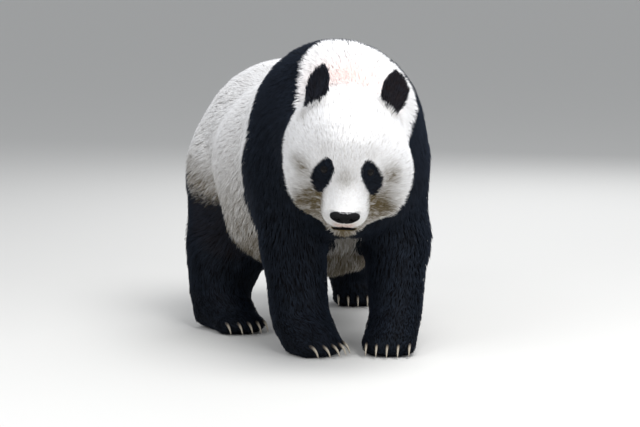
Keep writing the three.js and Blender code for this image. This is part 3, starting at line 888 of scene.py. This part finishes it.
# Pebbled leather breaks the light up into a soft grey sheen on top, without a clear highlight.
nose_leather, tree, surface, where = new_material(
    "pebbled_nose_leather", Roughness=0.55, Specular_IOR_Level=0.12
)
pebbles = add_node(tree, "ShaderNodeTexVoronoi", Vector=where, Scale=1000 / PEBBLE_MM).outputs[0]
bump = add_node(tree, "ShaderNodeBump", {"invert": True}, Height=pebbles, Strength=0.7, Distance=0.0006)
colour = painted(tree, "#0b0b0c", (pebbles, "#030304"))
set_inputs(surface, Base_Color=colour, Normal=bump.outputs["Normal"])

pad = new_sphere("nose_pad", 96, 64)
shape = points_of(pad.data)
upper = np.clip(shape[:, 2], 0, 1)
lower = np.clip(-shape[:, 2], 0, 1)
shape[:, 0] *= 1 + 0.16 * upper - 0.22 * lower**1.5
shape[:, 2] = 0.95 * upper**0.75 - lower + 0.06 * shape[:, 0] ** 2
shape[:, 1] *= 1 - 0.25 * upper
shape *= NOSE_HALF
front = shape[:, 1] < 0
across = np.abs(shape[:, 0]) - NOSTRIL["side"]
above = shape[:, 2] - NOSTRIL["up"]
hole = np.exp(-((across / NOSTRIL["radius"]) ** 2 + (above / (0.8 * NOSTRIL["radius"])) ** 2))
slit = np.exp(-(((across - 0.007) / 0.006) ** 2 + ((above - 0.001 - 0.25 * (across - 0.007)) / 0.0018) ** 2))
cleft = np.exp(-((shape[:, 0] / 0.0016) ** 2)) * (1 - fade(shape[:, 2], -0.004, 0.006))
shape[:, 1] += front * (NOSTRIL["depth"] * np.maximum(hole, 0.75 * slit) + 0.0022 * cleft)
wing = np.exp(-(((np.hypot(across, above) - 1.5 * NOSTRIL["radius"]) / 0.003) ** 2))
shape[:, 1] -= front * 0.0010 * wing
move_points(pad.data, from_head(shape + NOSE_CENTRE))
pad.data.materials.append(nose_leather)
bpy.ops.object.shade_smooth()
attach(pad, "root")
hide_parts("nose")
print("nose pad faces:", len(pad.data.polygons))

# %% [markdown]
# ## Claws
# The claws are horn: grey ivory at the tip and nearly black at the root. Their nodes already have the right
# bend and place, but few sides, so each is copied and its facets are rounded off.

# %% Horn and claws
STREAK_MM = 5.5

# Worn horn is smooth and a little waxy: a long soft highlight.
horn, tree, surface, where = new_material("claw_horn", Roughness=0.3, Specular_IOR_Level=0.5)
streaks = add_node(tree, "ShaderNodeTexNoise", Vector=where, Scale=1000 / STREAK_MM, Detail=2.0).outputs[0]
set_inputs(surface, Base_Color=painted(tree, "#877c6c", (streaks, "#b4aa97"), ("root", "#2b231d")))


def add_claw(leg, number):
    node = f"{leg}_claw_{number}"
    claw = merged_copy([node], f"{node}_horn")
    finish_with(claw, "DISPLACE", strength=0.0004, mid_level=0.0)
    finish_with(claw, "SUBSURF", levels=2, render_levels=2)
    shape = points_of(claw.data)
    along = (shape - shape.mean(0)) @ paw_forward[leg]
    write_field(claw.data, "root", 1 - fade(along - along.min(), 0.008, 0.028))
    claw.data.materials.append(horn)
    bpy.ops.object.shade_smooth()
    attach(claw, "root")
    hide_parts(node)


for leg in LEG_NAMES:
    for number in range(1, CLAWS_EACH + 1):
        add_claw(leg, number)
print("claws:", len(LEG_NAMES) * CLAWS_EACH)

# %% [markdown]
# ## The coat
# Each tuft is a thin closed sliver with three sides, rooted just under the skin. It rises out of the skin,
# then lies along the coat, and neighbours lean together into locks as damp or grown-out fur does. All the
# tufts of a piece are made at once from arrays, as one mesh.

# %% Places for the roots
seeds = np.random.default_rng(7)
mesh.calc_loop_triangles()
corners = read_all(mesh.loop_triangles, "vertices", 3, np.int32)
loops = read_all(mesh.loop_triangles, "loops", 3, np.int32)
unwrap = read_all(mesh.uv_layers["OFBake"].data, "uv", 2)
place, outward = points_of(mesh), points_of(mesh, "normal")
fields = {name: read_all(mesh.attributes[name].data, "value") for name in [*qualities, "bare"]}
black, border, stain_and_shade, blush, depth, length, bare = fields.values()
lie = read_all(mesh.attributes["lie"].data, "vector", 3)
codes = read_all(mesh.attributes["part"].data, "value", 1, np.int32)

SPACING = ((0.006, 0.0019), (0.012, 0.0024), (0.020, 0.0031), (0.030, 0.0042), (0.050, 0.0048))  # by length
PART_SPACING = {"head": 0.90, "front_leg": 1.42, "hind_leg": 1.42, "trunk": 1.09}  # black hides gaps
spacing = along_table(length, SPACING)
for part, factor in PART_SPACING.items():
    spacing[codes == PART_CODES[part]] *= factor
SOLE_TOP, MOST_BARE = 0.0025, 0.28  # nothing grows below the first, or on skin barer than the second
tri = place[corners]
area = np.linalg.norm(np.cross(tri[:, 1] - tri[:, 0], tri[:, 2] - tri[:, 0]), axis=1) / 2
hairless = (tri[:, :, 2].mean(1) < SOLE_TOP) | (bare[corners].mean(1) > MOST_BARE)
growth = area / spacing[corners].mean(1) ** 2 * ~hairless
steps = np.cumsum(growth)
count = int(steps[-1])
chosen = np.searchsorted(steps, np.arange(count) + seeds.random(count))
chosen = np.minimum(chosen, len(corners) - 1)
shares = seeds.random((count, 2))
flip = shares.sum(1) > 1
shares[flip] = 1 - shares[flip]
shares = np.column_stack([1 - shares.sum(1), shares])


def at_roots(values):
    picked = values[corners[chosen]]
    return np.einsum("nk,nk...->n...", shares, picked)


def rooted_in(*parts):
    """For each tuft, how much of its root's place belongs to these parts."""
    return at_roots(np.isin(codes, [PART_CODES[part] for part in parts]).astype(float))


roots = at_roots(place)
up = unit(at_roots(outward))
along = along_surface(at_roots(lie), up)
print("tufts:", count)

# %% Locks: neighbours that lean together
LOCK_SHARE = 9  # tufts in a lock, on average
leaders = seeds.choice(count, count // LOCK_SHARE, replace=False)


def nearest(places, points):
    """The number of the place nearest to each point."""
    finder = kdtree.KDTree(len(places))
    for i, spot in enumerate(places):
        finder.insert(spot, i)
    finder.balance()
    return np.array([finder.find(point)[1] for point in points])


def turned(vectors, axes, angles):
    """Vectors square to their axes, turned about them."""
    return vectors * np.cos(angles)[:, None] + np.cross(axes, vectors) * np.sin(angles)[:, None]


LOCK_SWAY, TUFT_SWAY = math.radians(7), math.radians(8)
lock = nearest(roots[leaders], roots)
head_roots = to_head(roots)
over_nose = (nose_reach(head_roots) < 1.2) & (head_roots[:, 2] > NOSE_BED["up"] + 0.002)
along[over_nose] *= -1  # short hairs above the nose lie forwards over its rim
sway = LOCK_SWAY * seeds.standard_normal(len(leaders))[lock] + TUFT_SWAY * seeds.standard_normal(count)
along = turned(along, up, sway)
lock_size = 0.92 + 0.16 * seeds.random(len(leaders))[lock]
print("locks:", len(leaders))

# %% How long, high and wide each tuft is
TUFT_WIDTH = ((0.005, 0.0011), (0.012, 0.0016), (0.024, 0.0021), (0.050, 0.0028))  # by length
GATHER = ((0.008, 0.10), (0.022, 0.20), (0.032, 0.12))  # how much of the way to its leader, by length
LOCK_REACH = 0.03  # a tuft further than this from its leader's tip stays where it is
RAISED = {"cheek": 0.007, "belly": 0.016, "leg": 0.003, "nose": 0.0015}  # at most, over the coat's depth
LIPS_FREE = (-0.0100, 0.0040)  # below and above the line of the lips

ruffled = fade(np.abs(head_roots[:, 0]), 0.062, 0.095) * (1 - fade(head_roots[:, 2], -0.06, 0.03))
under_jaw = fade(-head_roots[:, 2], 0.112, 0.124)
ruffled = np.maximum(ruffled, under_jaw) * (rooted_in("head") > 0.5)
tuft_length = at_roots(length) * (0.8 + 0.35 * seeds.random(count)) * lock_size
tuft_rise = at_roots(depth) * (0.90 + 0.10 * seeds.random(count)) * (0.5 + 0.5 * lock_size)
raised = RAISED["cheek"] * seeds.random(count) ** 2 + 0.003 * seeds.random(len(leaders))[lock] - 0.002
tuft_rise += ruffled * raised
tuft_length *= 1 + ruffled * (0.25 + 0.3 * under_jaw * seeds.random(count))
hanging = fade(-up[:, 2], 0.45, 0.85) * (1 - fade(np.abs(roots[:, 0]), 0.10, 0.17))
hanging *= rooted_in("trunk") > 0.5
tuft_rise += hanging * RAISED["belly"] * seeds.random(count)
tuft_rise += RAISED["nose"] * over_nose
tuft_width = along_table(tuft_length, TUFT_WIDTH) * (0.8 + 0.4 * seeds.random(count))
leg_roots = rooted_in("front_leg", "hind_leg")
tuft_width *= (1 + 0.25 * leg_roots) * (1 - 0.40 * at_roots(border))
tuft_rise += RAISED["leg"] * leg_roots * seeds.random(count) ** 2
tips = roots + along * tuft_length[:, None] + up * tuft_rise[:, None]
to_leader = tips[leaders][lock] - tips
near_leader = np.linalg.norm(to_leader, axis=1, keepdims=True) < LOCK_REACH
tips = tips + along_table(tuft_length, GATHER)[:, None] * to_leader * near_leader
root_gap, tip_gap = mouth_gap(head_roots), mouth_gap(to_head(tips))
over_mouth = (root_gap * tip_gap < 0) | ((tip_gap < LIPS_FREE[1]) & (tip_gap > LIPS_FREE[0]))
over_mouth &= on_mouth(head_roots) > 0.2
print("tufts are", tuft_length.min().round(4), "to", tuft_length.max().round(4), "m long")

# %% [markdown]
# ## Fur materials
# White guard hair is hollow and scatters light, so it looks soft and bright, slightly cream. Black hair is
# nearly as dark as soot, with a cool soft sheen. A tuft is a little darker at its root, where less light
# reaches it. One tuft differs from the next by a shade.


# %% White and black guard hair
def tuft_values(tree):
    """How far along the tuft, its random tone, and its dirt with painted shade: each from 0 to 1."""
    hair = add_node(tree, "ShaderNodeAttribute", {"attribute_name": "hair"}).outputs["Color"]
    return add_node(tree, "ShaderNodeSeparateColor", Color=hair).outputs[:3]


white_hair, tree, surface, _ = new_material(
    "white_guard_hair", Roughness=0.7, Specular_IOR_Level=0.15, Sheen_Weight=0.15
)
reach, shade, dirt_and_shade = tuft_values(tree)
# The dirt colour also paints shade: under the jaw and chin, in creases and low on the body.
outer_hair = painted(tree, "#e9e8e7", (shade, "#fbfbfb"), (dirt_and_shade, "#5c4e2f"), ("blushing", "#f3cbc0"))
darker = {"data_type": "RGBA", "blend_type": "MULTIPLY"}
under_hair = add_node(tree, "ShaderNodeMix", darker, _0=1.0, _6=outer_hair, _7="#e9e5df").outputs[2]
set_inputs(surface, Base_Color=painted(tree, under_hair, (reach, outer_hair)))

black_hair, tree, surface, _ = new_material(
    "black_guard_hair", Roughness=0.6, Specular_IOR_Level=0.06, Sheen_Weight=0.04, Sheen_Tint="#9fb0d8"
)
_, shade, dirt_and_shade = tuft_values(tree)
# Brown on the ears, and a trace of the painted shade elsewhere.
set_inputs(surface, Base_Color=painted(tree, "#0c0e12", (shade, "#1c222b"), (dirt_and_shade, "#3a2a20")))
print("hair:", white_hair.name, "and", black_hair.name)

# %% [markdown]
# ## Building the tufts
# A tuft has two rings of three points and a tip. They follow a bend that is steep at the root and flat at
# the end. Shading normals lean towards the skin's, so that the coat catches light as one soft body.

# %% One mesh of many tufts
RINGS = np.array([0.0, 0.45])  # shares of a tuft's length
RING_RISE = {"root": -0.08, "head": 0.54, "body": 0.68}
RING_WIDTH = np.array([0.8, 1.0])
SIDES = 3
ANGLES = np.radians([210, 330, 90])
FLATNESS = 0.55
SKIN_SHARE = 0.90  # how far a shading normal leans to the skin's
PATCH_SIDE = 0.003


def tuft_faces(rings):
    quads = [
        (r * SIDES + k, r * SIDES + (k + 1) % SIDES, (r + 1) * SIDES + (k + 1) % SIDES, (r + 1) * SIDES + k)
        for r in range(rings - 1)
        for k in range(SIDES)
    ]
    last = (rings - 1) * SIDES
    ends = [(last + k, last + (k + 1) % SIDES, rings * SIDES) for k in range(SIDES)]
    return quads, ends + [(2, 1, 0)]


def build_coat(name, pick):
    rings = len(RINGS)
    points_each = rings * SIDES + 1
    base, tip, n = roots[pick], tips[pick], up[pick]
    span = tip - base - n * tuft_rise[pick, None]
    t = unit(span)
    b = np.cross(n, t)
    points = np.empty((len(pick), points_each, 3))
    shading = np.empty_like(points)
    for r in range(rings):
        arch = ring_rise[pick] if r else RING_RISE["root"]
        spine = base + span * RINGS[r] + n * (tuft_rise[pick] * arch)[:, None]
        for k, angle in enumerate(ANGLES):
            radial = b * math.cos(angle) + n * (FLATNESS * math.sin(angle))
            points[:, r * SIDES + k] = spine + radial * (tuft_width[pick] * RING_WIDTH[r] / 2)[:, None]
            shading[:, r * SIDES + k] = SKIN_SHARE * n + (1 - SKIN_SHARE) * radial
    points[:, -1] = tip
    shading[:, -1] = n
    is_black = hair_black[pick]
    offsets = (np.arange(len(pick)) * points_each)[:, None, None]
    faces = [np.array(group) for group in tuft_faces(rings)]  # quads, then triangles
    all_corners = np.concatenate([(offsets + group).ravel() for group in faces]).astype(np.int32)
    sides = np.concatenate([np.full(len(pick) * len(group), group.shape[1]) for group in faces])
    slots = np.concatenate([np.repeat(is_black, len(group)) for group in faces])
    coat = bpy.data.meshes.new(name)
    coat.vertices.add(points_each * len(pick))
    coat.loops.add(len(all_corners))
    coat.polygons.add(len(sides))
    coat.vertices.foreach_set("co", points.astype(np.float32).ravel())
    coat.loops.foreach_set("vertex_index", all_corners)
    coat.polygons.foreach_set("loop_start", (np.cumsum(sides) - sides).astype(np.int32))
    coat.materials.append(white_hair)
    coat.materials.append(black_hair)
    coat.polygons.foreach_set("material_index", slots.astype(np.int32))
    coat.update(calc_edges=True)
    coat.polygons.foreach_set("use_smooth", np.ones(len(sides), bool))
    reach = np.append(np.repeat(RINGS, SIDES), 1.0)
    hair = np.ones((len(pick), points_each, 4), np.float32)
    hair[:, :, 0] = reach
    hair[:, :, 1] = hair_shade[pick, None]
    hair[:, :, 2] = hair_stain_and_shade[pick, None]
    write_field(coat, "hair", hair, "FLOAT_COLOR")
    write_field(coat, "blushing", np.repeat(hair_blush[pick], points_each))
    own_patch = np.stack([np.append(np.tile([0.0, 1.0, 0.5], rings), 0.5), reach], axis=1)
    unwrapped = hair_uv[pick][:, None] + (own_patch - 0.5) * PATCH_SIDE
    layer = coat.uv_layers.new(name="OFBake")
    layer.data.foreach_set("uv", unwrapped.reshape(-1, 2)[all_corners].astype(np.float32).ravel())
    coat.normals_split_custom_set_from_vertices(unit(shading).reshape(-1, 3).tolist())
    piece = new_object(name, coat)
    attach(piece, "root")
    return len(pick)


print("faces of a tuft:", sum(len(group) for group in tuft_faces(len(RINGS))))

# %% Colour each tuft and build the coat
hair_part = codes[corners[chosen, 0]]
in_head = hair_part == PART_CODES["head"]
ring_rise = np.where(in_head, RING_RISE["head"], RING_RISE["body"])
look_at = np.where(hair_part == PART_CODES["trunk"], 0.85, np.where(in_head, 0.75, 0.55))[:, None]
middles = roots + look_at * (tips - roots) + up * (0.25 * tuft_rise)[:, None]
below = nearest(place, middles)  # the point of the skin whose colour a tuft takes
head_middles = to_head(middles)
on_face = (codes[below] == PART_CODES["head"]) & (head_middles[:, 1] < -0.05)
mingle = seeds.random(count)
in_patch = patch_reach(head_middles) < 1.05 + 0.06 * (mingle - 0.5)
edge = np.where(in_head, 0.45 + 0.1 * mingle, 0.2 + 0.6 * mingle)
on_ear = in_head & ~on_face & (at_roots(black) > edge)
hair_black = np.where(on_face, in_patch, np.where(in_head, on_ear, black[below] > edge))
lock_shade = seeds.standard_normal(len(leaders))[lock]
hair_shade = np.clip(0.55 + 0.20 * seeds.standard_normal(count) + 0.14 * lock_shade, 0, 1)
uneven = 0.40 + 0.6 * seeds.random(count) + 0.5 * seeds.random(len(leaders))[lock]
# A tuft takes the stain and painted shade of the skin below it, unevenly.
hair_stain_and_shade = np.clip(stain_and_shade[below] * uneven, 0, 1)
hair_stain_and_shade[hair_black & ~on_ear] *= 0.12
hair_blush = np.clip(blush[below], 0, 1)
hair_uv = np.einsum("nk,nkc->nc", shares, unwrap[loops[chosen]])
sides = {"left": roots[:, 0] >= 0, "right": roots[:, 0] < 0}
MOST_TUFTS = 19500  # keeps a piece under 200,000 triangles

built = 0
for part, code in PART_CODES.items():
    for side, on_side in sides.items():
        members = np.nonzero((hair_part == code) & on_side & ~over_mouth)[0]
        print(part, side, len(members), "tufts")
        members = members[np.argsort(roots[members, 1], kind="stable")]
        pieces = max(1, math.ceil(len(members) / MOST_TUFTS))
        for i, chunk in enumerate(np.array_split(members, pieces)):
            built += build_coat(f"coat_{part}_{side}_{i + 1}", chunk)
print("tufts built:", built)
